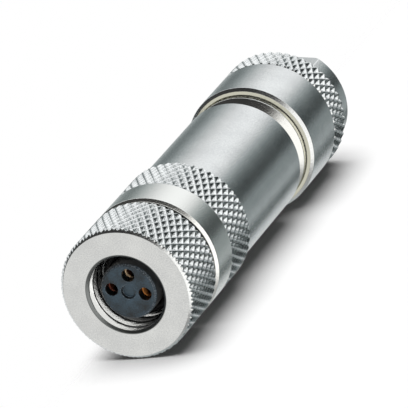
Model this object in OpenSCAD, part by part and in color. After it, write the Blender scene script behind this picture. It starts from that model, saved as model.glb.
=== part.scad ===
// Straight screw-locking sensor connector with three socket contacts and a cable gland.
// It stands on its cable end, with the socket upwards and the axis along Z.

/* [Outer form] */
// Outer diameter of both nuts and of the housing's front ring
outer_d = 12; // [11.8:0.1:14]
// Length of the coupling nut
nut_len = 6; // [5.5:0.05:8]
// Gap between the coupling nut and the housing
nut_gap = 0.5; // [0.3:0.05:1.2]
// Length of the plain ring at the front of the housing
ring_len = 3.5; // [2.5:0.05:6]
// Length of the housing's knurled grip
grip_len = 4.7; // [3:0.1:8]
// Diameter of the housing's plain barrel
barrel_d = 11.24; // [10.8:0.02:11.8]
// Length of the housing's plain barrel
barrel_len = 14.3; // [12:0.1:24]
// Diameter of the housing's rear neck, which carries the gland thread
neck_d = 10.4; // [10:0.05:10.8]
// Bare length of the housing's waist and collar in front of the gland nut
neck_gap = 2.4; // [1.6:0.1:4]
// Diameter of the collar that the gland nut is screwed up to
collar_d = 10.74; // [10.5:0.02:10.9]
// Length of the collar's plain rim
collar_len = 0.25; // [0.1:0.05:0.6]
// Chamfer on the collar's front, down to the waist behind the barrel
collar_cut = 0.65; // [0.2:0.05:0.7]
// Length of the gland nut's plain band
band_len = 6.15; // [5.5:0.05:9]
// Length of the gland nut's knurled grip
gland_grip_len = 2.95; // [1.5:0.05:6]
// Diameter of the gland nut's tail
tail_d = 10.9; // [9.8:0.05:11.4]
// Length of the gland nut's tail
tail_len = 2.5; // [1.5:0.05:5]
// Width across the tail's two wrench flats
flats_w = 9; // [8:0.05:10.5]
// Angle that the flats are turned by
flats_turn = 4; // [0:1:90]
// Chamfer on the outer edges
edge_cut = 0.2; // [0.05:0.01:0.3]
// Chamfer on the front edge of the gland nut
gland_cut = 0.2; // [0.05:0.01:0.4]
// Chamfer on the rear edge of each knurled grip
grip_cut = 0.1; // [0.05:0.01:0.2]

/* [Knurl] */
// Diamonds around each knurled grip
knurl_count = 48; // [24:2:60]
// Length of one diamond along the axis
knurl_pitch = 1.4; // [1:0.05:2]
// Depth of the diamond pits
knurl_depth = 0.24; // [0.1:0.01:0.4]

/* [Coupling] */
// Bore of the coupling thread
thread_bore_d = 7.1; // [6.9:0.02:7.3]
// Chamfer at the mouth of the coupling thread
mouth_cut = 0.1; // [0.05:0.01:0.2]
// Thickness of the coupling nut's rear web
web_len = 1.2; // [0.8:0.05:1.6]
// Diameter of the shell's journal that the coupling nut turns on
journal_d = 6.2; // [6:0.02:6.3]
// Axial play of the coupling nut on its journal
nut_play = 0.15; // [0.1:0.01:0.25]
// Thickness of the snap ring
snap_len = 0.4; // [0.3:0.02:0.6]
// Radial depth of the snap ring's groove
snap_seat = 0.2; // [0.1:0.01:0.25]
// Radial height that the snap ring stands out of its groove
snap_rise = 0.25; // [0.15:0.01:0.3]
// Radial room around the snap ring in the coupling nut's thread relief
relief_gap = 0.5; // [0.2:0.05:0.7]
// Angle of the gap in the snap ring
snap_split = 40; // [20:5:60]
// Length of the journal in front of the snap ring
journal_land = 0.4; // [0.2:0.05:0.8]
// Thickness of the face seal's section
face_seal_d = 0.7; // [0.5:0.02:0.8]

/* [Insert] */
// Diameter of the contact carrier's nose
carrier_d = 5.1; // [4.9:0.02:5.2]
// Depth of the carrier's face below the coupling nut's face
carrier_recess = 0.6; // [0.2:0.05:1]
// Chamfer on the carrier's front edge
carrier_cut = 0.2; // [0.05:0.01:0.3]
// Diameter of the circle that the contacts stand on
contact_circle_d = 3.04; // [2.9:0.02:3.1]
// Angle of the left contact on that circle
left_angle = 180; // [170:1:190]
// Angle of the middle contact
middle_angle = -90; // [-100:1:-80]
// Angle of the right contact
right_angle = 0; // [-10:1:10]
// Diameter of the pin holes in the carrier's face
pin_hole_d = 1.15; // [1.1:0.01:1.25]
// Thickness of the carrier's face over the contacts
face_skin = 0.9; // [0.2:0.05:1.2]
// Diameter of the contacts' barrel
contact_d = 1.44; // [1.36:0.01:1.5]
// Bore of the contacts
contact_bore_d = 1.02; // [0.96:0.01:1.06]
// Depth of the contacts' bore
contact_depth = 5.2; // [4:0.1:6]
// Diameter of the collar that locks each contact
contact_collar_d = 1.84; // [1.7:0.02:1.9]
// Length of that collar
contact_collar_len = 0.6; // [0.4:0.05:0.9]
// Diameter of the contacts' solder cups
cup_d = 1.2; // [1:0.02:1.3]
// Bore of the solder cups
cup_bore_d = 0.84; // [0.6:0.02:0.88]
// Length of the solder cups behind the lock ring
cup_len = 1.8; // [1:0.1:3]
// Diameter of the round mark in the middle of the carrier's face
mark_d = 1.3; // [1:0.05:1.4]
// Depth of that mark
mark_depth = 0.2; // [0.1:0.02:0.4]
// Diameter of the carrier's flange, the retainer and the lock ring
flange_d = 7.1; // [6.6:0.05:7.4]
// Depth of the flange below the front of the housing
flange_drop = 1.6; // [1.2:0.1:2.4]
// Length of the carrier's flange
flange_len = 1.6; // [1.2:0.1:2.4]
// Length of the contact retainer
retainer_len = 1.2; // [0.8:0.1:2]
// Length of the lock ring
lock_len = 1; // [0.6:0.1:1.6]
// Radial width of the lock ring
lock_wall = 0.55; // [0.4:0.05:1]

/* [Shell and housing] */
// Diameter of the shell's threaded body
shell_d = 8.8; // [8.4:0.05:9.2]
// Length of the shell behind the lock ring
shell_skirt = 1.5; // [0.8:0.1:3]
// Depth of the shell seal below the front of the housing
shell_seal_drop = 1.3; // [0.8:0.05:2]
// Thickness of the shell seal's section
shell_seal_d = 0.5; // [0.3:0.02:0.6]
// Wall of the insulating tube
tube_wall = 0.5; // [0.3:0.05:0.9]
// Height of the housing's inner ledge above the rear end of the barrel
ledge_rise = 0.5; // [0:0.1:1.5]
// Thickness of the inner ledge
ledge_len = 1; // [0.6:0.1:2]
// Opening of the inner ledge
ledge_bore_d = 6.6; // [6:0.1:7.4]

/* [Cable gland] */
// Length of the gland thread on the neck
thread_len = 4.6; // [3:0.1:5]
// Room between the neck's end and the gland nut's shoulder
shoulder_gap = 0.6; // [0.4:0.05:1]
// Bore of the housing's rear chamber
chamber_d = 8.6; // [8.2:0.05:9]
// Bore of the cable entry
entry_d = 5.6; // [5.2:0.05:6]
// Length of the cable entry
entry_len = 3.2; // [2.6:0.1:4]
// Chamfer at the mouth of the cable entry
entry_cut = 0.4; // [0.1:0.05:0.8]
// Length of the gland nut's inner cone
cone_len = 2.2; // [1.6:0.1:2.6]
// Length of the clamping cage inside the housing
cage_seat = 1; // [0.6:0.1:1.6]
// Number of fingers on the clamping cage
finger_count = 6; // [4:2:10]
// Width of the slots between the fingers
slot_w = 0.6; // [0.3:0.05:0.9]
// Opening of the seals and rings that the cable passes
cable_d = 5.5; // [4.4:0.05:5.6]
// Thickness of the thrust ring
thrust_len = 0.8; // [0.5:0.05:1.4]
// Thickness of the shield ring
shield_len = 1; // [0.6:0.05:1.6]
// Depth of the grooves inside the cable seal
seal_groove = 0.35; // [0.1:0.05:0.6]
// Number of those grooves
groove_count = 3; // [1:1:5]

/* [Clearances] */
// Gap between pieces that are fixed to each other
fit_gap = 0.02; // [0.01:0.005:0.04]
// Radial gap between pieces that turn or slide on each other
run_gap = 0.05; // [0.03:0.005:0.08]

/* [Hidden] */
$fn = 64;

// Heights of the outer form, from the cable end upwards
gland_grip_z = tail_len;
band_z = gland_grip_z + gland_grip_len;
gland_top = band_z + band_len;
barrel_z = gland_top + neck_gap;
grip_z = barrel_z + barrel_len;
ring_z = grip_z + grip_len;
housing_top = ring_z + ring_len;
nut_z = housing_top + nut_gap;
total_len = nut_z + nut_len;

// Heights of the coupling and the insert
web_top = nut_z + web_len;
snap_z = web_top + nut_play;
snap_top = snap_z + snap_len;
journal_top = snap_top + fit_gap + journal_land;
shoulder_top = nut_z - nut_play;
carrier_top = total_len - carrier_recess;
contact_top = carrier_top - face_skin - fit_gap;
flange_top = housing_top - flange_drop;
flange_z = flange_top - fit_gap - flange_len;
retainer_top = flange_z - fit_gap;
retainer_z = retainer_top - retainer_len;
lock_top = retainer_z - fit_gap;
lock_z = lock_top - lock_len;
shell_z = lock_z - shell_skirt;
cup_z = lock_z - cup_len;
shell_seal_z = housing_top - shell_seal_drop;

// Heights of the cable gland
neck_z = gland_top - thread_len;
collar_z = gland_top + run_gap;
collar_top = collar_z + collar_len + collar_cut;
shoulder_z = neck_z - shoulder_gap;
ledge_z = barrel_z + ledge_rise;
ledge_top = ledge_z + ledge_len;
cone_top = entry_len + cone_len;
cage_z = entry_len + run_gap + edge_cut;
cage_top = neck_z + cage_seat;
thrust_z = cage_top + run_gap;
thrust_top = thrust_z + thrust_len;
shield_top = ledge_z - fit_gap;
shield_z = shield_top - shield_len;
seal_z = thrust_top + fit_gap;
seal_top = shield_z - fit_gap;

// Radii that pieces share
outer_r = outer_d / 2;
journal_r = journal_d / 2;
thread_bore_r = thread_bore_d / 2;
relief_r = max(thread_bore_r, journal_r + snap_rise) + relief_gap;
carrier_r = carrier_d / 2;
flange_r = flange_d / 2;
shell_r = shell_d / 2;
housing_bore_r = shell_r + fit_gap;
chamber_r = chamber_d / 2;
packing_r = chamber_r - fit_gap;
neck_r = neck_d / 2;
gland_bore_r = neck_r + run_gap;
collar_r = collar_d / 2;
cage_r = chamber_r - run_gap;
cone_r = cage_r + run_gap;
entry_r = entry_d / 2;
cable_r = cable_d / 2;
shell_groove_r = shell_r - shell_seal_d - fit_gap;

contact_angles = [left_angle, middle_angle, right_angle];

// Small step that keeps joined shapes overlapping
bury = 0.05;

// Part of a ring's profile: a rectangle from one radius to another between two heights
module ring_section(inner, outer, low, high) {
    translate([inner, low])
        square([outer - inner, high - low]);
}

module tube(inner, outer, low, high) {
    rotate_extrude()
        ring_section(inner, outer, low, high);
}

// Disc whose lower and upper edges are chamfered by low_cut and high_cut
module cut_disc(radius, low, high, low_cut, high_cut) {
    rotate_extrude()
        polygon([[0, low], [radius - low_cut, low], [radius, low + low_cut], [radius, high - high_cut],
            [radius - high_cut, high], [0, high]]);
}

// Solid bar with diamond pits between two heights and a chamfer on both ends.
// Its points stand in rows around the axis. The first and the last row are the plain edges of the ends.
// Between them, points with an even sum of row and column are bottoms of pits, the others are crossings
// of the ridges, and the pits that the chamfers cut are half as deep.
module knurl_bar(low, high, low_cut, high_cut) {
    pits_len = high - low - low_cut - high_cut;
    steps = max(2, round(2 * pits_len / knurl_pitch));
    last = steps + 2;
    cols = 2 * knurl_count;
    function pit(row, col) = (row + col) % 2 == 0;
    function height(row) = row == 0 ? low : row == last ? high : low + low_cut + (row - 1) * pits_len / steps;
    function pit_depth(row) = row == 1 || row == last - 1 ? knurl_depth / 2 : knurl_depth;
    function radius(row, col) = row == 0 ? outer_r - low_cut : row == last ? outer_r - high_cut :
        pit(row, col) ? outer_r - pit_depth(row) : outer_r;
    function index(row, col) = row * cols + (col + cols) % cols;
    points = [for (row = [0:last], col = [0:cols - 1])
        let (turn = 360 * col / cols, r = radius(row, col)) [r * cos(turn), r * sin(turn), height(row)]];
    upper_faces = [for (row = [0:last - 1], col = [0:cols - 1]) if (pit(row, col)) each [
        [index(row, col), index(row + 1, col), index(row, col + 1)],
        [index(row, col), index(row, col - 1), index(row + 1, col)]]];
    lower_faces = [for (row = [1:last], col = [0:cols - 1]) if (pit(row, col)) each [
        [index(row, col), index(row - 1, col), index(row, col - 1)],
        [index(row, col), index(row, col + 1), index(row - 1, col)]]];
    end_faces = [[for (col = [0:cols - 1]) index(0, col)], [for (col = [cols - 1:-1:0]) index(last, col)]];
    polyhedron(points, concat(upper_faces, lower_faces, end_faces));
}

// Places its children at one contact of the insert
module at_contact(angle) {
    rotate(angle)
        translate([contact_circle_d / 2, 0, 0])
            children();
}

module coupling_nut() {
    color("silver") difference() {
        knurl_bar(nut_z, total_len, grip_cut, edge_cut);
        cylinder(h = total_len, r = journal_r + run_gap);
        translate([0, 0, web_top])
            cylinder(h = total_len, r = thread_bore_r);
        translate([0, 0, web_top])
            cylinder(h = journal_top - web_top, r = relief_r);
        translate([0, 0, total_len - mouth_cut])
            cylinder(h = 2 * mouth_cut, r1 = thread_bore_r, r2 = thread_bore_r + 2 * mouth_cut);
    }
}

module snap_ring() {
    color("dimgray")
        rotate(snap_split / 2)
            rotate_extrude(angle = 360 - snap_split)
                ring_section(journal_r - snap_seat + fit_gap, journal_r + snap_rise, snap_z, snap_top);
}

module face_seal() {
    color("black")
        rotate_extrude()
            translate([carrier_r + fit_gap + face_seal_d / 2, journal_top + fit_gap + face_seal_d / 2])
                circle(d = face_seal_d);
}

module insert_shell() {
    seal_low = shell_seal_z - shell_seal_d / 2 - fit_gap;
    seal_high = shell_seal_z + shell_seal_d / 2 + fit_gap;
    color("lightgray") difference() {
        union() {
            cut_disc(shell_r, shell_z, shoulder_top, edge_cut, edge_cut);
            cut_disc(journal_r, shoulder_top - bury, journal_top, 0, bury);
        }
        cylinder(h = total_len, r = carrier_r + fit_gap);
        cylinder(h = flange_top, r = flange_r + fit_gap);
        tube(journal_r - snap_seat, journal_r + bury, snap_z - fit_gap, snap_top + fit_gap);
        tube(shell_groove_r, shell_r + bury, seal_low, seal_high);
    }
}

module contact_carrier() {
    color([0.24, 0.27, 0.31]) difference() {
        union() {
            cut_disc(carrier_r, flange_z, carrier_top, 0, carrier_cut);
            cut_disc(flange_r, flange_z, flange_top - fit_gap, 0, 0);
        }
        translate([0, 0, carrier_top - mark_depth])
            cylinder(h = 2 * mark_depth, d = mark_d);
        for (angle = contact_angles) at_contact(angle) {
            cylinder(h = total_len, d = pin_hole_d);
            cylinder(h = contact_top + fit_gap, d = contact_d + 2 * fit_gap);
            cylinder(h = flange_z + contact_collar_len + fit_gap, d = contact_collar_d + 2 * fit_gap);
        }
    }
}

// Turned socket contact: a bored barrel, a locking collar and a solder cup
module contact() {
    color("goldenrod") difference() {
        union() {
            translate([0, 0, flange_z])
                cylinder(h = contact_top - flange_z, d = contact_d);
            translate([0, 0, flange_z])
                cylinder(h = contact_collar_len, d = contact_collar_d);
            translate([0, 0, cup_z])
                cylinder(h = flange_z + bury - cup_z, d = cup_d);
        }
        translate([0, 0, contact_top - contact_depth])
            cylinder(h = 2 * contact_depth, d = contact_bore_d);
        translate([0, 0, cup_z - cup_len])
            cylinder(h = 2 * cup_len, d = cup_bore_d);
    }
}

module contact_left() {
    at_contact(left_angle) contact();
}

module contact_middle() {
    at_contact(middle_angle) contact();
}

module contact_right() {
    at_contact(right_angle) contact();
}

module contact_retainer() {
    color("beige") difference() {
        cut_disc(flange_r, retainer_z, retainer_top, 0, 0);
        for (angle = contact_angles) at_contact(angle)
            cylinder(h = total_len, d = cup_d + 2 * fit_gap);
    }
}

module lock_ring() {
    color("silver") tube(flange_r - lock_wall, flange_r, lock_z, lock_top);
}

module shell_seal() {
    color("black")
        rotate_extrude()
            translate([shell_groove_r + fit_gap / 2 + shell_seal_d / 2, shell_seal_z])
                circle(d = shell_seal_d);
}

module housing_sleeve() {
    color("silver") difference() {
        union() {
            cut_disc(neck_r, neck_z, collar_z + bury, edge_cut, 0);
            cut_disc(collar_r, collar_z, collar_top, 0, collar_cut);
            cut_disc(collar_r - collar_cut, collar_z, barrel_z + bury, 0, 0);
            cut_disc(barrel_d / 2, barrel_z, grip_z + bury, bury, 0);
            knurl_bar(grip_z, ring_z + bury, grip_cut, 2 * bury);
            cut_disc(outer_r, ring_z, housing_top, 0, edge_cut);
        }
        translate([0, 0, ledge_top])
            cylinder(h = total_len, r = housing_bore_r);
        cylinder(h = total_len, d = ledge_bore_d);
        cylinder(h = ledge_z, r = chamber_r);
    }
}

module insulating_tube() {
    color("beige")
        tube(housing_bore_r - fit_gap - tube_wall, housing_bore_r - fit_gap, ledge_top + fit_gap,
            shell_z - fit_gap);
}

module shield_ring() {
    color("lightgray") rotate_extrude()
        polygon([[cable_r, shield_z], [packing_r - edge_cut, shield_z], [packing_r, shield_z + edge_cut],
            [packing_r, shield_top], [ledge_bore_d / 2, shield_top]]);
}

module cable_seal() {
    groove_len = (seal_top - seal_z) / (2 * groove_count + 1);
    color([0.15, 0.15, 0.16]) difference() {
        cut_disc(packing_r, seal_z, seal_top, edge_cut, edge_cut);
        translate([0, 0, seal_z - bury])
            cylinder(h = seal_top - seal_z + 2 * bury, r = cable_r);
        for (groove = [1:groove_count])
            tube(cable_r - bury, cable_r + seal_groove, seal_z + (2 * groove - 1) * groove_len,
                seal_z + 2 * groove * groove_len);
    }
}

module thrust_ring() {
    color("lightgray") tube(cable_r, packing_r, thrust_z, thrust_top);
}

// Collar with fingers that the gland nut's cone presses onto the cable
module clamp_cage() {
    tip_r = entry_r + (cone_r - entry_r) * (cage_z - entry_len) / cone_len;
    color("whitesmoke") difference() {
        rotate_extrude()
            polygon([[cable_r, cage_z], [tip_r - run_gap, cage_z], [cage_r, cone_top], [cage_r, cage_top],
                [cable_r, cage_top]]);
        for (turn = [0:finger_count / 2 - 1]) rotate(360 / finger_count * turn)
            translate([-outer_r, -slot_w / 2, 0])
                cube([outer_d, slot_w, neck_z]);
    }
}

module gland_nut() {
    flank_cut = min(gland_cut, (outer_r - gland_bore_r) / 2);
    color("silver") difference() {
        union() {
            intersection() {
                cut_disc(tail_d / 2, 0, gland_grip_z + bury, edge_cut, 0);
                rotate(flats_turn)
                    translate([-outer_r, -flats_w / 2, -bury])
                        cube([outer_d, flats_w, total_len]);
            }
            knurl_bar(gland_grip_z, band_z + bury, grip_cut, edge_cut);
            cut_disc(outer_r, band_z, gland_top, edge_cut, flank_cut);
        }
        cylinder(h = total_len, r = entry_r);
        cylinder(h = entry_cut, r1 = entry_r + entry_cut, r2 = entry_r);
        translate([0, 0, entry_len])
            cylinder(h = cone_len, r1 = entry_r, r2 = cone_r);
        translate([0, 0, cone_top])
            cylinder(h = total_len, r = cone_r);
        translate([0, 0, shoulder_z])
            cylinder(h = total_len, r = gland_bore_r);
    }
}

coupling_nut();
snap_ring();
face_seal();
insert_shell();
contact_carrier();
contact_left();
contact_middle();
contact_right();
contact_retainer();
lock_ring();
shell_seal();
housing_sleeve();
insulating_tube();
shield_ring();
cable_seal();
thrust_ring();
clamp_cage();
gland_nut();
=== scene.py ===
import math
import bmesh
import bpy
import numpy as np
from mathutils import Matrix, Vector


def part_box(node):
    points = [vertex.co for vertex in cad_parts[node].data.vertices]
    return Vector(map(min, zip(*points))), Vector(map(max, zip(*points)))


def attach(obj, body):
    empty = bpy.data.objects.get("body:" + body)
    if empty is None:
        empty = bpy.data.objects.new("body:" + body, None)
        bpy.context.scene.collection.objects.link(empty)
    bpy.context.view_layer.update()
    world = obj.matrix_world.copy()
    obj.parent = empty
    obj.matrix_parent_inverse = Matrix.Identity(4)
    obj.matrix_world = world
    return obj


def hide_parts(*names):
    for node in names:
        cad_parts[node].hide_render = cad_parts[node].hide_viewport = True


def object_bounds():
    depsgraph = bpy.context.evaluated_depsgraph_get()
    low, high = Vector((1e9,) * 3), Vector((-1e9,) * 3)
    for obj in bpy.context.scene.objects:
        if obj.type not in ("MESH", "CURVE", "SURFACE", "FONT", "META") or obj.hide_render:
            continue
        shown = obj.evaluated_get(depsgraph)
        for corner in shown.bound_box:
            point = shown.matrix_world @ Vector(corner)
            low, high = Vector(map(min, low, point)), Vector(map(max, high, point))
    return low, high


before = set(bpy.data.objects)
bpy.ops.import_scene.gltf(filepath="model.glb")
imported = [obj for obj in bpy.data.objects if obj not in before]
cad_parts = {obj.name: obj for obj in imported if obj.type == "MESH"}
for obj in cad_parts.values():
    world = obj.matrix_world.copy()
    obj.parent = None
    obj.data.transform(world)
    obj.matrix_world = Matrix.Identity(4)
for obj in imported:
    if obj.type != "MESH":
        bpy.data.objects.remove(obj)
cadLow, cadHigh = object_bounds()
mm = 0.001
print("frame loaded")


# node graphs

class Wire:  # a socket with arithmetic: every operator adds one Math node
    def __init__(self, tree, socket=None):
        self.tree = tree
        self.socket = socket

    def add(self, kind, settings=None, sockets=None, out=0):  # any node: settings first, then sockets
        node = self.tree.nodes.new(kind)
        for name, value in (settings or {}).items():
            if name == "stops":
                for _ in value[2:]:
                    node.color_ramp.elements.new(0.5)
                for stop, (spot, grey) in zip(node.color_ramp.elements, value):
                    stop.position = spot
                    stop.color = (grey, grey, grey, 1)
            else:
                setattr(node, name, value)
        for name, value in (sockets or {}).items():
            if isinstance(value, Wire):
                self.tree.links.new(value.socket, node.inputs[name])
            else:
                node.inputs[name].default_value = value
        return Wire(self.tree, node.outputs[out]) if len(node.outputs) else None

    def math(self, operation, *values):
        return self.add("ShaderNodeMath", {"operation": operation}, dict(enumerate(values)))

    def __add__(self, other):
        return self.math("ADD", self, other)

    def __sub__(self, other):
        return self.math("SUBTRACT", self, other)

    def __rsub__(self, other):
        return self.math("SUBTRACT", other, self)

    def __mul__(self, other):
        return self.math("MULTIPLY", self, other)

    def __truediv__(self, other):
        return self.math("DIVIDE", self, other)

    def __rtruediv__(self, other):
        return self.math("DIVIDE", other, self)

    __radd__ = __add__
    __rmul__ = __mul__

    def rise(self, low, high):  # 0 below low, 1 above high, an S curve between
        return self.add("ShaderNodeMapRange", {"interpolation_type": "SMOOTHSTEP"},
                        {"Value": self, "From Min": low, "From Max": high})


def freshGraph(owner):  # the emptied nodes of a material or a world
    owner.use_nodes = True
    owner.node_tree.nodes.clear()
    return Wire(owner.node_tree)


def finish(graph, shader):
    graph.add("ShaderNodeOutputMaterial", None, {"Surface": shader})


def grain(graph, size, detail, stretch=(1, 1, 1), falloff=0.55):  # noise whose grains are size millimetres
    spot = graph.add("ShaderNodeTexCoord", None, None, "Object")
    spot = graph.add("ShaderNodeMapping", None, {"Vector": spot, "Scale": stretch})
    return graph.add("ShaderNodeTexNoise", None,
                     {"Vector": spot, "Scale": 1 / (size * mm), "Detail": detail, "Roughness": falloff})


def blend(graph, factor, first, second):  # each colour is a wire or three numbers
    first, second = (c if isinstance(c, Wire) else (*c, 1) for c in (first, second))
    return graph.add("ShaderNodeMix", {"data_type": "RGBA"}, {"Factor": factor, 6: first, 7: second}, 2)


def bump(graph, height, depth):  # height 0..1 stands for depth millimetres
    return graph.add("ShaderNodeBump", None, {"Height": height, "Strength": 1.0, "Distance": depth * mm})


def heightAlong(graph):  # height along the axis, in millimetres
    spot = graph.add("ShaderNodeTexCoord", None, None, "Object")
    return graph.add("ShaderNodeSeparateXYZ", None, {"Vector": spot}, "Z") / mm


def radiusAcross(graph):  # distance from the axis, in millimetres
    spot = graph.add("ShaderNodeTexCoord", None, None, "Object")
    spot = graph.add("ShaderNodeMapping", None, {"Vector": spot, "Scale": (1, 1, 0)})
    return graph.add("ShaderNodeVectorMath", {"operation": "LENGTH"}, {0: spot}, "Value") / mm


def facingFront(graph):  # 1 on faces that look out of the socket's end, 0 on walls along the axis
    normal = graph.add("ShaderNodeNewGeometry", None, None, "Normal")
    return graph.add("ShaderNodeSeparateXYZ", None, {"Vector": normal}, "Z")


# finishes

# how cloud and fine grain share a colour, the noise between which it changes, and the soft edge of a stretch
mottle = {"plainCloud": 0.6, "nickelCloud": 0.4, "spread": (0.3, 0.7), "softEdge": 0.05}
nickelLook = {"pale": (0.87, 0.88, 0.88), "deep": (0.70, 0.71, 0.72), "rough": 0.16, "roughSpread": 0.05,
              "grainSize": 0.11, "grainDepth": 0.016, "cloudSize": 2.4,
              "lineStretch": (0.15, 0.15, 1), "lineShare": 0.25}


def insideStretch(graph, stretch):  # 1 between its two heights, and within its radius where it has one
    soft = mottle["softEdge"]
    height = heightAlong(graph)
    above = height.rise(stretch["low"], stretch["low"] + soft)
    inside = above * (1 - height.rise(stretch["high"] - soft, stretch["high"]))
    if "within" in stretch:
        inside = inside * (1 - radiusAcross(graph).rise(stretch["within"] - soft, stretch["within"]))
    return inside


def satinNickel(name, look, stretches=()):  # plated metal, with stretches made brighter or darker; the dark stretch at the nut's mouth is painted shade
    material = bpy.data.materials.new(name)
    graph = freshGraph(material)
    cloud = grain(graph, look["cloudSize"], 3)
    fine = grain(graph, look["grainSize"], 2)
    lines = grain(graph, look["grainSize"], 1, look["lineStretch"])  # faint turning marks round the axis
    rough = look["rough"] + (cloud - 0.5) * look["roughSpread"] + (fine - 0.5) * look["roughSpread"]
    share = mottle["nickelCloud"]
    shade = (cloud * share + fine * (1 - share)).rise(*mottle["spread"])
    colour = blend(graph, shade, look["deep"], look["pale"])
    for stretch in stretches:
        inside = insideStretch(graph, stretch)
        rough = rough + inside * (stretch["rough"] - look["rough"])
        colour = blend(graph, inside, colour, stretch["tint"])
    relief = fine * (1 - look["lineShare"]) + lines * look["lineShare"]
    finish(graph, graph.add("ShaderNodeBsdfPrincipled", None, {
        "Base Color": colour, "Roughness": rough, "Normal": bump(graph, relief, look["grainDepth"]),
        "Metallic": 1.0}))
    return material


def plainFinish(name, look):  # plastics, rubber and small metal parts
    material = bpy.data.materials.new(name)
    graph = freshGraph(material)
    cloud = grain(graph, look["cloudSize"], 3)
    fine = grain(graph, look["grainSize"], 2)
    share = mottle["plainCloud"]
    shade = (cloud * share + fine * (1 - share)).rise(*look.get("spread", mottle["spread"]))
    if "paintedWallShade" in look:  # painted shade: walls along the axis are painted darker than faces across it
        shade = shade * facingFront(graph).rise(*look["paintedWallShade"])
    if "paintedLitDepth" in look:  # painted shade: deeper than this the inside of a contact is painted dark
        shade = shade * heightAlong(graph).rise(look["top"] - look["paintedLitDepth"], look["top"])
    colour = blend(graph, shade, look["deep"], look["pale"])
    if "edge" in look:  # painted highlight: the chamfer round the face is painted lighter in specks
        facing = facingFront(graph)
        paintedHighlight = facing.rise(*look["edgeFrom"]) * (1 - facing.rise(*look["edgeTo"]))
        colour = blend(graph, paintedHighlight * fine.rise(*look["highlightSpecks"]), colour, look["edge"])
    rough = look["rough"] + (fine - 0.5) * look["roughSpread"]
    finish(graph, graph.add("ShaderNodeBsdfPrincipled", None, {
        "Base Color": colour, "Roughness": rough, "Normal": bump(graph, fine, look["grainDepth"]),
        "Metallic": look["metal"]}))
    return material


# the carrier's walls along the axis get painted shade, and the chamfer round its face a painted highlight in
# specks
carrierLook = {"pale": (0.052, 0.094, 0.130), "deep": (0.006, 0.008, 0.009), "rough": 0.34,
               "roughSpread": 0.12, "grainSize": 0.09, "grainDepth": 0.004, "cloudSize": 1.6, "metal": 0.0,
               "paintedWallShade": (0.1, 0.75), "edge": (0.22, 0.245, 0.27), "edgeFrom": (0.4, 0.6),
               "edgeTo": (0.8, 0.95), "highlightSpecks": (0.42, 0.68)}
goldLook = {"pale": (0.80, 0.31, 0.08), "deep": (0.05, 0.016, 0.006), "rough": 0.3, "roughSpread": 0.1,
            "grainSize": 0.06, "grainDepth": 0.001, "cloudSize": 0.8, "metal": 0.2,
            "top": 41.5, "paintedLitDepth": 0.75, "spread": (0.15, 0.5)}
# a paler and a darker copy of the same gold: painted sheen and painted shade for contacts lit differently in
# their holes
goldPaintedSheenLook = dict(goldLook, pale=(0.80, 0.58, 0.36), paintedLitDepth=0.34)
goldPaintedShadeLook = dict(goldLook, pale=(0.18, 0.05, 0.03), paintedLitDepth=0.34)
rubberLook = {"pale": (0.036, 0.036, 0.037), "deep": (0.022, 0.022, 0.023), "rough": 0.6,
              "roughSpread": 0.2, "grainSize": 0.08, "grainDepth": 0.004, "cloudSize": 1.2, "metal": 0.0}
palePlasticLook = {"pale": (0.80, 0.78, 0.72), "deep": (0.73, 0.71, 0.65), "rough": 0.42,
                   "roughSpread": 0.15, "grainSize": 0.12, "grainDepth": 0.003, "cloudSize": 2.0,
                   "metal": 0.0}
springLook = {"pale": (0.46, 0.46, 0.47), "deep": (0.36, 0.36, 0.37), "rough": 0.25, "roughSpread": 0.1,
              "grainSize": 0.06, "grainDepth": 0.001, "cloudSize": 0.9, "metal": 1.0}

nickel = satinNickel("satinNickel", nickelLook)
carrierPlastic = plainFinish("slatePlastic", carrierLook)
gold = plainFinish("goldPlate", goldLook)
goldPaintedSheen = plainFinish("goldPlatePaintedSheen", goldPaintedSheenLook)
goldPaintedShade = plainFinish("goldPlatePaintedShade", goldPaintedShadeLook)
rubber = plainFinish("blackRubber", rubberLook)
palePlastic = plainFinish("palePlastic", palePlasticLook)
springSteel = plainFinish("springSteel", springLook)
print("finishes ready")


# turned shapes, in millimetres

hair = 0.001  # puts a row clearly on one side of an edge
outline = {"arcPoints": 3, "inset": 0.03, "insetShare": 0.2}
# count diamonds go round, each a pitch long; a grip's points lie within reach of the outer radius
knurl = {"count": 48, "pitch": 1.4, "flat": 0.06, "outer": 6.0, "reach": 0.4,
         "columns": 576, "pitchRows": 12}
rowStep = knurl["pitch"] / knurl["pitchRows"]


def turnedPath(corners):
    # Closed outline of a turned piece. Each corner is (radius, height, round, rows): it is cut back by round
    # along both edges and bridged by a parabola, and the edge that follows it is split into that many rows,
    # which begin and end a small inset away from the parabolas.
    table = np.array(corners, float)
    corner, cut, rows = table[:, :2], table[:, 2:3], table[:, 3].astype(int)
    after = np.roll(corner, -1, 0) - corner
    length = np.linalg.norm(after, axis=1, keepdims=True)
    along = after / length
    start = corner - np.roll(along, 1, 0) * cut
    end = corner + along * cut
    nextStart = np.roll(start, -1, 0)
    t = np.linspace(0, 1, outline["arcPoints"])[:, None]
    points = []
    for i in range(len(table)):
        arc = (1 - t) ** 2 * start[i] + 2 * t * (1 - t) * corner[i] + t ** 2 * end[i]
        inset = min(outline["inset"], outline["insetShare"] * length[i, 0]) * along[i]
        line = np.linspace(end[i] + inset, nextStart[i] - inset, rows[i] + 1)
        points += [arc, line]
    return np.concatenate(points)


def grid(path, cols):
    # The outline repeated at even turns round the axis: radius, height and turn (0 to 1) of every point.
    turn = np.arange(cols)[None, :] / cols
    height = np.repeat(path[:, 1:], cols, 1)
    radius = np.repeat(path[:, :1], cols, 1)
    return radius, height, np.broadcast_to(turn, radius.shape)


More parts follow.
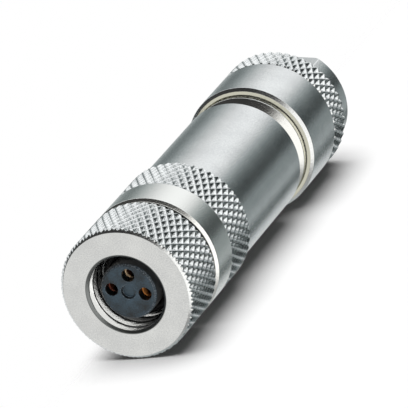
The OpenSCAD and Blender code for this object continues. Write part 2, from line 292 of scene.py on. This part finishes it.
def ridgeSteps(turn, height, grip):
    # How far a point lies from the nearest pit's middle, across the ridges that wind left and right.
    around = turn * knurl["count"] - grip["diamond"]
    along = (height - grip["height"]) / knurl["pitch"]
    first, second = around + along, around - along
    return np.abs(first - np.round(first)), np.abs(second - np.round(second))


def diamondDepth(turn, height, grip):
    # Depth of the diamond pits, 0..1: each is a four-sided pyramid between ridges that keep a small flat.
    fold = np.maximum(*ridgeSteps(turn, height, grip)) * 2
    return np.clip((1 - knurl["flat"] - fold) / (1 - knurl["flat"]), 0, 1)


def knurled(radius, height, turn, band, grip):
    # In the band, a point lies at its outline's radius or on the diamonds, whichever is less.
    depth = diamondDepth(turn, height, grip) * grip["depth"]
    if "runOut" in grip:  # the pits get shallower just before the front end
        most = grip["runOut"] + grip["runOutSlope"] * np.maximum(grip["end"] - height, 0)
        depth = np.minimum(depth, most)
    inBand = (height > band[0]) & (height < band[1]) & (radius > knurl["outer"] - knurl["reach"])
    return np.where(inBand, np.minimum(radius, knurl["outer"] - depth), radius)


def ridgeLean(height, turn, grip):
    # True where a cell's middle lies nearer to a ridge that falls as it goes round.
    middle = (height + np.roll(height, -1, 0)) / 2
    first, second = ridgeSteps(turn + 0.5 / turn.shape[1], middle, grip)
    return first > second


def turnedMesh(name, radius, height, turn, leaning):
    # Closed ring surface: rows run along the outline and columns round the axis, both joined end to end.
    # leaning picks the diagonal of each four-sided cell, so that the ridges run along edges.
    rows, cols = radius.shape
    angle = 2 * np.pi * turn
    points = np.stack([radius * np.cos(angle), radius * np.sin(angle), height], -1) * mm
    index = np.arange(rows * cols).reshape(rows, cols)
    a, b = index, np.roll(index, -1, 1)
    c, d = np.roll(b, -1, 0), np.roll(index, -1, 0)
    lean = leaning[..., None]
    one = np.where(lean, np.stack([a, b, d], -1), np.stack([a, b, c], -1)).reshape(-1, 3)
    two = np.where(lean, np.stack([b, c, d], -1), np.stack([a, c, d], -1)).reshape(-1, 3)
    faces = np.concatenate([one, two])
    flat = points.reshape(-1, 3)
    p, q, r = flat[faces[:, 0]], flat[faces[:, 1]], flat[faces[:, 2]]
    if np.einsum("ij,ij->i", p, np.cross(q, r)).sum() < 0:  # signed volume: turn the faces outwards
        faces = faces[:, ::-1]
    mesh = bpy.data.meshes.new(name)
    mesh.from_pydata(flat.tolist(), [], faces.tolist())
    mesh.polygons.foreach_set("use_smooth", np.ones(len(faces), bool))
    mesh.validate()
    return mesh


def addPiece(name, mesh, material, body, node):
    item = bpy.data.objects.new(name, mesh)
    bpy.context.scene.collection.objects.link(item)
    mesh.materials.clear()
    mesh.materials.append(material)
    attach(item, body)
    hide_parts(node)
    return item


# coupling nut

# fadeTop and fadeLow: how far inside that end the thread begins (outside if negative), and its fade's length
couplingNut = {"edge": 0.3, "rearEdge": 0.1, "mouth": 3.62, "mouthLen": 0.2, "bore": 3.42, "webBore": 3.15,
               "webLen": 1.2, "relief": 4.05, "reliefTop": 2.17, "threadPitch": 1.0, "threadDepth": 0.5,
               "threadRows": 18, "threadStart": 41.7, "crest": 0.15, "flank": 0.75,
               "fadeTop": (0.02, 0.15), "fadeLow": (-0.1, 0.2)}
couplingGrip = {"diamond": -0.22, "height": 36.82, "depth": 0.32,
                "runOut": 0.15, "runOutSlope": 0.9, "end": 42.7}
# the chamfer of the nut's mouth is painted dark: painted shade
mouthPaintedShade = {"low": 42.77, "high": 43.1, "within": 3.7, "rough": 0.3, "tint": (0.21, 0.22, 0.22)}
brightThread = {"low": 38.5, "high": 42.8, "within": 4.1, "rough": 0.14, "tint": (0.94, 0.95, 0.95)}


def couplingNutMesh(v, grip):
    # Outline turned round the axis, with diamonds outside and a right-hand V thread inside: the thread's
    # radius follows a clipped triangle wave of height over pitch minus the turn.
    low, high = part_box("coupling_nut")
    low, high, outer = low.z / mm, high.z / mm, knurl["outer"]
    gripRows = round((high - low - v["edge"] - v["rearEdge"]) / rowStep)
    threadLow, threadHigh = low + v["reliefTop"], high - v["mouthLen"]
    boreRows = round((threadHigh - threadLow) * v["threadRows"] / v["threadPitch"])
    path = turnedPath([
        (v["webBore"], low, 0.05, 2), (outer - v["rearEdge"], low, 0.03, 1),
        (outer, low + v["rearEdge"], 0.02, gripRows), (outer, high - v["edge"], 0.02, 3),
        (outer - v["edge"], high, 0.03, 3), (v["mouth"], high, 0.02, 3),
        (v["bore"], threadHigh, 0.02, boreRows), (v["bore"], threadLow, 0.03, 1),
        (v["relief"], threadLow, 0.05, 1), (v["relief"], low + v["webLen"], 0.1, 1),
        (v["webBore"], low + v["webLen"], 0.05, 1)])
    radius, height, turn = grid(path, knurl["columns"])
    lean = ridgeLean(height, turn, grip)
    radius = knurled(radius, height, turn, (low - hair, high - hair), grip)
    wave = (height - v["threadStart"]) / v["threadPitch"] - turn
    wave = 1 - np.abs(2 * (wave - np.floor(wave)) - 1)
    atTop = np.clip((threadHigh - v["fadeTop"][0] - height) / v["fadeTop"][1], 0, 1)
    atLow = np.clip((height - threadLow - v["fadeLow"][0]) / v["fadeLow"][1], 0, 1)
    groove = v["threadDepth"] * np.clip((wave - v["crest"]) / v["flank"], 0, 1) * (atTop * atLow)
    inThread = (radius < v["relief"] - hair) & (height > threadLow - hair) & (height < threadHigh)
    radius = np.where(inThread, np.maximum(radius, v["bore"] + groove), radius)
    return turnedMesh("couplingNut", radius, height, turn, lean)


couplingNickel = satinNickel("satinNickelThread", nickelLook, [mouthPaintedShade, brightThread])
couplingMesh = couplingNutMesh(couplingNut, couplingGrip)
addPiece("couplingNut", couplingMesh, couplingNickel, "coupling_nut", "coupling_nut")
print("coupling nut made")


# housing sleeve

housing = {"neck": 5.2, "collar": 5.37, "collarLow": 11.65, "collarLen": 0.5, "collarCut": 0.65,
           "barrel": 5.62, "barrelLow": 14.0, "gripLow": 28.3, "ringLow": 33.0, "edge": 0.25,
           "rearEdge": 0.12, "bore": 4.42, "ledge": 3.3, "ledgeLow": 14.5, "ledgeHigh": 15.5,
           "chamber": 4.3, "neckEdge": 0.2}
housingGrip = {"diamond": 0.05, "height": 28.09, "depth": 0.3}
polishedNeck = {"low": 6.0, "high": 14.02, "rough": 0.12, "tint": (0.81, 0.81, 0.79)}
brightRing = {"low": 33.0, "high": 38.0, "rough": 0.17, "tint": (0.92, 0.92, 0.90)}


def housingMesh(v, grip):
    # Outline turned round the axis, with diamonds on the grip between the barrel and the plain front ring.
    # Behind the barrel a waist widens as a cone to the collar that the gland nut is screwed up to.
    low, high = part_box("housing_sleeve")
    low, high, outer = low.z / mm, high.z / mm, knurl["outer"]
    gripRows = round((v["ringLow"] - v["gripLow"] - v["rearEdge"]) / rowStep)
    rimHigh, waist = v["collarLow"] + v["collarLen"], v["collar"] - v["collarCut"]
    path = turnedPath([
        (v["chamber"], low, 0.05, 1), (v["neck"] - v["neckEdge"], low, 0.03, 1),
        (v["neck"], low + v["neckEdge"], 0.03, 4), (v["neck"], v["collarLow"], 0.02, 1),
        (v["collar"], v["collarLow"], 0.02, 1), (v["collar"], rimHigh, 0.03, 4),
        (waist, rimHigh + v["collarCut"], 0.05, 1), (waist, v["barrelLow"], 0.02, 1),
        (v["barrel"], v["barrelLow"], 0.04, 8), (v["barrel"], v["gripLow"], 0.03, 1),
        (outer - v["rearEdge"], v["gripLow"], 0.02, 1),
        (outer, v["gripLow"] + v["rearEdge"], 0.02, gripRows),
        (outer, v["ringLow"], 0.0, 4), (outer, high - v["edge"], 0.03, 2),
        (outer - v["edge"], high, 0.03, 2), (v["bore"], high, 0.05, 4), (v["bore"], v["ledgeHigh"], 0.1, 1),
        (v["ledge"], v["ledgeHigh"], 0.1, 1), (v["ledge"], v["ledgeLow"], 0.1, 1),
        (v["chamber"], v["ledgeLow"], 0.1, 2)])
    radius, height, turn = grid(path, knurl["columns"])
    lean = ridgeLean(height, turn, grip)
    radius = knurled(radius, height, turn, (v["gripLow"] - hair, v["ringLow"] - hair), grip)
    return turnedMesh("housingSleeve", radius, height, turn, lean)


housingNickel = satinNickel("satinNickelPolishedNeck", nickelLook, [polishedNeck, brightRing])
sleeveMesh = housingMesh(housing, housingGrip)
addPiece("housingSleeve", sleeveMesh, housingNickel, "housing", "housing_sleeve")
print("housing made")


# gland nut

# groove parts grip and band; the flats are cut where the tail's radius is over flatsFrom
glandNut = {"tail": 5.45, "tailLen": 2.5, "flats": 9.0, "flatsTurn": 4.0, "flatsFrom": 4.6,
            "leastSine": 0.1, "edge": 0.2, "rearEdge": 0.12, "gripHigh": 5.45, "rimCut": 0.2,
            "groove": 0.16, "grooveLow": 0.02, "grooveHigh": 0.1, "band": 6.0, "frontCut": 0.28,
            "frontSlope": 0.11, "frontLip": 0.02, "bore": 5.25, "boreCut": 0.2, "shoulder": 6.4,
            "coneR": 4.3, "coneTop": 5.4, "entry": 2.8, "entryLen": 3.2, "entryCut": 0.4}
glandGrip = {"diamond": -0.21, "height": 2.55, "depth": 0.3}
tailEdges = {"merge": 0.002, "angle": 30.0, "over": 0.01}
polishedFront = {"low": 11.45, "high": 11.8, "rough": 0.12, "tint": (0.69, 0.68, 0.58)}


def sharpBelow(mesh, top, v):
    # Doubled points are merged, and up to the height top, edges whose faces meet at more than the angle
    # stay sharp.
    work = bmesh.new()
    work.from_mesh(mesh)
    bmesh.ops.remove_doubles(work, verts=work.verts, dist=v["merge"] * mm)
    work.to_mesh(mesh)
    work.free()
    mesh.set_sharp_from_angle(angle=math.radians(v["angle"]))
    points = np.empty(len(mesh.vertices) * 3, np.float32)
    mesh.vertices.foreach_get("co", points)
    ends = np.empty(len(mesh.edges) * 2, np.int32)
    mesh.edges.foreach_get("vertices", ends)
    sharp = np.empty(len(mesh.edges), bool)
    mesh.edges.foreach_get("use_edge_sharp", sharp)
    below = points[2::3][ends].reshape(-1, 2).max(1) < (top + v["over"]) * mm
    mesh.edges.foreach_set("use_edge_sharp", sharp & below)
    return mesh


def glandNutMesh(v, grip):
    # Outline turned round the axis, with diamonds on the grip; the tail's radius is limited to half the
    # flats' width over the sine of the turn, which makes the two wrench flats.
    low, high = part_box("gland_nut")
    low, high, outer = low.z / mm, high.z / mm, knurl["outer"]
    tailHigh, frontEdge, rim = low + v["tailLen"], high - v["frontSlope"], v["gripHigh"] - v["rimCut"]
    gripRows = round((v["gripHigh"] - v["tailLen"] - v["rearEdge"] - v["rimCut"]) / rowStep)
    path = turnedPath([
        (v["entry"] + v["entryCut"], low, 0.05, 2), (v["tail"] - v["edge"], low, 0.05, 1),
        (v["tail"], low + v["edge"], 0.05, 3), (v["tail"], tailHigh, 0.02, 1),
        (outer - v["rearEdge"], tailHigh, 0.02, 1), (outer, tailHigh + v["rearEdge"], 0.02, gripRows),
        (outer, rim, 0.02, 1), (v["band"] - v["groove"], v["gripHigh"] - v["grooveLow"], 0.02, 1),
        (v["band"], v["gripHigh"] + v["grooveHigh"], 0.03, 4),
        (v["band"], frontEdge - v["frontCut"], 0.03, 3), (v["band"] - v["frontCut"], frontEdge, 0.03, 2),
        (v["bore"] + v["boreCut"], high - v["frontLip"], 0.01, 1), (v["bore"], high - v["boreCut"], 0.03, 3),
        (v["bore"], v["shoulder"], 0.05, 1), (v["coneR"], v["shoulder"], 0.05, 1),
        (v["coneR"], v["coneTop"], 0.05, 2), (v["entry"], v["entryLen"], 0.1, 2),
        (v["entry"], low + v["entryCut"], 0.05, 1)])
    radius, height, turn = grid(path, knurl["columns"])
    lean = ridgeLean(height, turn, grip)
    radius = knurled(radius, height, turn, (tailHigh - hair, rim + v["rimCut"] / 2), grip)
    sine = np.abs(np.sin(2 * np.pi * (turn - v["flatsTurn"] / 360)))
    limit = v["flats"] / 2 / np.maximum(sine, v["leastSine"])
    onTail = (height < tailHigh - hair) & (radius > v["flatsFrom"])
    radius = np.where(onTail, np.minimum(radius, limit), radius)
    return sharpBelow(turnedMesh("glandNut", radius, height, turn, lean), tailHigh, tailEdges)


glandNickel = satinNickel("satinNickelPolishedFront", nickelLook, [polishedFront])
glandMesh = glandNutMesh(glandNut, glandGrip)
addPiece("glandNut", glandMesh, glandNickel, "gland_nut", "gland_nut")
print("gland nut made")


# insert: the solids' own shapes, joined up and given fine edges

insertEdges = {"merge": 0.0005, "flat": 0.5, "sharp": 32.0, "bevelFrom": 40.0, "bevelRows": 2,
               "carrier": 0.06, "contact": 0.03}
markSink = {"radius": 0.7, "from": 0.01, "to": 0.5, "by": 0.16}
# each contact gets a lit or a shaded copy of one gold: painted light
contactFinish = {"left": gold, "middle": goldPaintedSheen, "right": goldPaintedShade}


def dressed(name, node, material, bevel, sink=None):
    # A copy of the solid's triangles with doubles merged, smooth faces between sharp edges and a fine bevel;
    # sink lowers the floor of the round mark in the face.
    v = insertEdges
    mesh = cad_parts[node].data.copy()
    mesh.name = name
    work = bmesh.new()
    work.from_mesh(mesh)
    bmesh.ops.remove_doubles(work, verts=work.verts, dist=v["merge"] * mm)
    bmesh.ops.dissolve_limit(work, angle_limit=math.radians(v["flat"]), verts=work.verts, edges=work.edges)
    work.to_mesh(mesh)
    work.free()
    if sink:
        points = np.empty(len(mesh.vertices) * 3, np.float32)
        mesh.vertices.foreach_get("co", points)
        points = points.reshape(-1, 3)
        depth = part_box(node)[1].z - points[:, 2]
        inMark = np.hypot(points[:, 0], points[:, 1]) < sink["radius"] * mm
        onFloor = inMark & (depth > sink["from"] * mm) & (depth < sink["to"] * mm)
        points[onFloor, 2] -= sink["by"] * mm
        mesh.vertices.foreach_set("co", points.ravel())
    mesh.polygons.foreach_set("use_smooth", np.ones(len(mesh.polygons), bool))
    mesh.set_sharp_from_angle(angle=math.radians(v["sharp"]))
    edgeRound = addPiece(name, mesh, material, "housing", node).modifiers.new("edgeRound", "BEVEL")
    edgeRound.width = bevel * mm
    edgeRound.segments = v["bevelRows"]
    edgeRound.limit_method = "ANGLE"
    edgeRound.angle_limit = math.radians(v["bevelFrom"])
    edgeRound.harden_normals = True


dressed("contactCarrier", "contact_carrier", carrierPlastic,
        insertEdges["carrier"], markSink)
for side, material in contactFinish.items():
    dressed("contact" + side.title(), "contact_" + side, material, insertEdges["contact"])
print("insert dressed")


# inner pieces: the solids themselves, with their finishes

innerFinish = {"snap_ring": springSteel, "face_seal": rubber, "insert_shell": nickel,
               "contact_retainer": palePlastic, "lock_ring": nickel, "shell_seal": rubber,
               "insulating_tube": palePlastic, "shield_ring": nickel, "cable_seal": rubber,
               "thrust_ring": nickel, "clamp_cage": palePlastic}
for node, material in innerFinish.items():
    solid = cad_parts[node]
    solid.data.materials.clear()
    solid.data.materials.append(material)
print("inner pieces finished")


# camera: a long lens above the socket, turned so that the part lies across the picture

# scale is pixels in a millimetre, and frontX and frontY are the pixel where the axis meets the socket's end
cameraSet = {"azimuth": -38.0, "tilt": 31.48, "roll": -49.2, "distance": 450.0, "scale": 11.82,
             "frontX": 125.67, "frontY": 294.77, "frame": 408, "sensor": 36.0, "clip": (0.01, 20)}


def addCamera(v):
    # The lens looks down the axis, tilted and rolled, and the middle of the socket's end lands on its pixel.
    azimuth, tilt, roll = (math.radians(v[k]) for k in ("azimuth", "tilt", "roll"))
    near = Vector((math.sin(azimuth), -math.cos(azimuth), 0))
    axis = Vector((0, 0, -1))
    forward = math.cos(tilt) * axis - math.sin(tilt) * near
    lengthwise = (axis - axis.dot(forward) * forward).normalized()
    across = forward.cross(lengthwise)
    right = math.cos(roll) * lengthwise - math.sin(roll) * across
    down = math.sin(roll) * lengthwise + math.cos(roll) * across
    focal = v["distance"] * v["scale"]  # in pixels
    half = v["frame"] / 2
    front = Vector((0, 0, cadHigh.z))
    eye = front - v["distance"] * mm * (forward + (v["frontX"] - half) / focal * right
                                        + (v["frontY"] - half) / focal * down)
    turn = Matrix((right, -down, -forward)).transposed().to_4x4()
    lens = bpy.data.cameras.new("camera")
    lens.sensor_width = v["sensor"]
    lens.lens = focal / v["frame"] * v["sensor"]
    lens.clip_start, lens.clip_end = v["clip"]
    camera = bpy.data.objects.new("camera", lens)
    camera.matrix_world = Matrix.Translation(eye) @ turn
    bpy.context.scene.collection.objects.link(camera)
    bpy.context.scene.camera = camera
    return near, across


nearSide, acrossSide = addCamera(cameraSet)
print("camera set")


# studio

# the part lies on the floor, which is turned about its axis from the camera's side and fades out left of it;
# diffuse is the even light that the surroundings give to dull faces
studio = {"floor": (0.97, 0.97, 0.97), "floorSize": 3.0, "floorTurn": 50.0, "floorGap": 6.01,
          "fade": (-6.5, -1.5), "diffuse": 0.06}
# level is how bright a white face turned to the lamp is; from is near the camera, across and along the axis
keyLamp = {"from": (0.744, -0.669, 0.0), "level": 1.0, "size": 2.9, "distance": 3.0}
fillLamp = {"from": (0.39, 0.35, 0.85), "level": 0.9, "size": 0.5, "distance": 3.0}
# what metal mirrors, row by row upwards: the heights (as sines) between which a row comes in, then its
# brightness by degrees round from the camera's side; a row that leans comes in lower on the left
panelRows = [
    {"round": [(-180, 1.0), (180, 1.0)]},
    {"low": -0.98, "high": -0.93, "round": [
        (-180, 0.64), (-160, 0.46), (-136, 0.18), (-120, 0.21), (-84, 0.66), (-66, 0.90), (-49, 1.0),
        (-33, 1.0), (-18, 0.82), (-4, 0.47), (11, 0.20), (26, 0.09), (41, 0.06), (49, 0.12), (57, 0.31),
        (66, 0.27), (75, 0.27), (95, 0.50), (102, 0.18), (116, 0.03), (124, 0.38), (140, 0.66),
        (180, 0.64)]},
    {"low": -0.74, "high": -0.58, "round": [
        (-180, 0.9), (-146, 0.95), (-110, 1.1), (-60, 1.25), (-14, 1.2), (8, 0.5), (20, 0.06), (44, 0.03),
        (62, 0.05), (80, 0.2), (102, 0.4), (146, 0.4), (180, 0.9)]},
    {"low": -0.22, "high": -0.1, "lean": 0.12, "round": [
        (-180, 0.80), (-165, 0.6), (-145, 0.07), (-60, 0.04), (-20, 0.06), (-8, 0.35), (4, 1.0), (12, 1.25),
        (76, 1.25), (88, 0.75), (97, 0.35), (112, 0.4), (140, 0.7), (180, 0.80)]},
    {"low": 0.56, "high": 0.66, "round": [(-180, 0.8), (180, 0.8)]}]
# dark stretches are cooler than bright ones, between the levels from and to, and high ones are warmer
tint = {"dark": (0.86, 1.0, 1.0), "bright": (0.98, 1.0, 1.0), "high": (1.0, 0.995, 0.965),
        "from": 0.1, "to": 0.8, "rise": (-0.25, 0.15)}


def studioDirection(parts):
    return (parts[0] * nearSide + parts[1] * acrossSide + parts[2] * Vector((0, 0, 1))).normalized()


def dotProduct(graph, first, second):
    return graph.add("ShaderNodeVectorMath", {"operation": "DOT_PRODUCT"}, {0: first, 1: second}, "Value")


def addFloor(v):
    # One square that touches the part along its length, clear from behind and left of the part.
    turn, half = math.radians(v["floorTurn"]), v["floorSize"] / 2
    normal = studioDirection((math.cos(turn), -math.sin(turn), 0))
    side, along = studioDirection((math.sin(turn), math.cos(turn), 0)) * half, Vector((0, 0, half))
    middle = Vector((0, 0, cadHigh.z / 2)) - normal * v["floorGap"] * mm
    corners = [middle - side - along, middle + side - along, middle + side + along, middle - side + along]
    if (corners[1] - corners[0]).cross(corners[2] - corners[1]).dot(normal) < 0:
        corners.reverse()
    mesh = bpy.data.meshes.new("floor")
    mesh.from_pydata(corners, [], [(0, 1, 2, 3)])
    material = bpy.data.materials.new("paleFloor")
    graph = freshGraph(material)
    behind = graph.add("ShaderNodeNewGeometry", None, None, "Backfacing")
    spot = graph.add("ShaderNodeTexCoord", None, None, "Object")
    beside = dotProduct(graph, spot, side / half) / mm
    pale = graph.add("ShaderNodeBsdfDiffuse", None, {"Color": (*v["floor"], 1)})
    clear = graph.add("ShaderNodeBsdfTransparent")
    solid = (1 - behind) * beside.rise(*v["fade"])
    finish(graph, graph.add("ShaderNodeMixShader", None, {0: solid, 1: clear, 2: pale}))
    mesh.materials.append(material)
    floor = bpy.data.objects.new("floor", mesh)
    floor.visible_glossy = False  # metal mirrors the studio below as well as above
    bpy.context.scene.collection.objects.link(floor)


def addWorld(v, rows, tone):
    # The brightness follows the angle round the axis by one list for each row of heights, and the rows pass
    # into each other. The camera sees white.
    world = bpy.data.worlds.new("studio")
    bpy.context.scene.world = world
    graph = freshGraph(world)
    direction = graph.add("ShaderNodeTexCoord", None, None, "Generated")
    ways = (nearSide, acrossSide, Vector((0, 0, 1)))
    near, across, up = (dotProduct(graph, direction, way) for way in ways)
    turn = across.math("ARCTAN2", across, near) / (2 * math.pi) + 0.5
    level = None
    for row in rows:
        stops = [(degrees / 360 + 0.5, grey) for degrees, grey in row["round"]]
        panel = graph.add("ShaderNodeValToRGB", {"stops": stops}, {"Fac": turn})
        if level:
            share = (up - across * row.get("lean", 0)).rise(row["low"], row["high"])
            panel = level * (1 - share) + panel * share
        level = panel
    rays = ("Is Camera Ray", "Is Glossy Ray", "Diffuse Depth")
    camera, shiny, bounces = (graph.add("ShaderNodeLightPath", None, None, ray) for ray in rays)
    mirrored = shiny * (1 - bounces.rise(0, 0.5))  # seen in metal, and not on its way to a dull face
    seen = camera + mirrored * level + (1 - camera) * (1 - mirrored) * v["diffuse"]
    cool = blend(graph, level.rise(tone["from"], tone["to"]), tone["dark"], tone["bright"])
    warm = blend(graph, up.rise(*tone["rise"]), cool, tone["high"])
    colour = blend(graph, shiny, (1, 1, 1), warm)
    light = graph.add("ShaderNodeBackground", None, {"Color": colour, "Strength": seen})
    graph.add("ShaderNodeOutputWorld", None, {"Surface": light})


def addLamp(name, v):  # a disk turned to the part, with the energy that gives its level at that distance
    lamp = bpy.data.lights.new(name, "AREA")
    lamp.shape = "DISK"
    lamp.size = v["size"]
    lamp.energy = v["level"] * math.pi ** 2 * (v["distance"] ** 2 + v["size"] ** 2 / 4)
    spot = studioDirection(v["from"]) * v["distance"]
    lampObject = bpy.data.objects.new(name, lamp)
    lampObject.matrix_world = Matrix.Translation(spot) @ spot.to_track_quat("Z", "Y").to_matrix().to_4x4()
    lampObject.visible_glossy = False
    bpy.context.scene.collection.objects.link(lampObject)


addFloor(studio)
addWorld(studio, panelRows, tint)
addLamp("key", keyLamp)
addLamp("fill", fillLamp)
bpy.context.scene.view_settings.view_transform = "Standard"
print("studio lit")
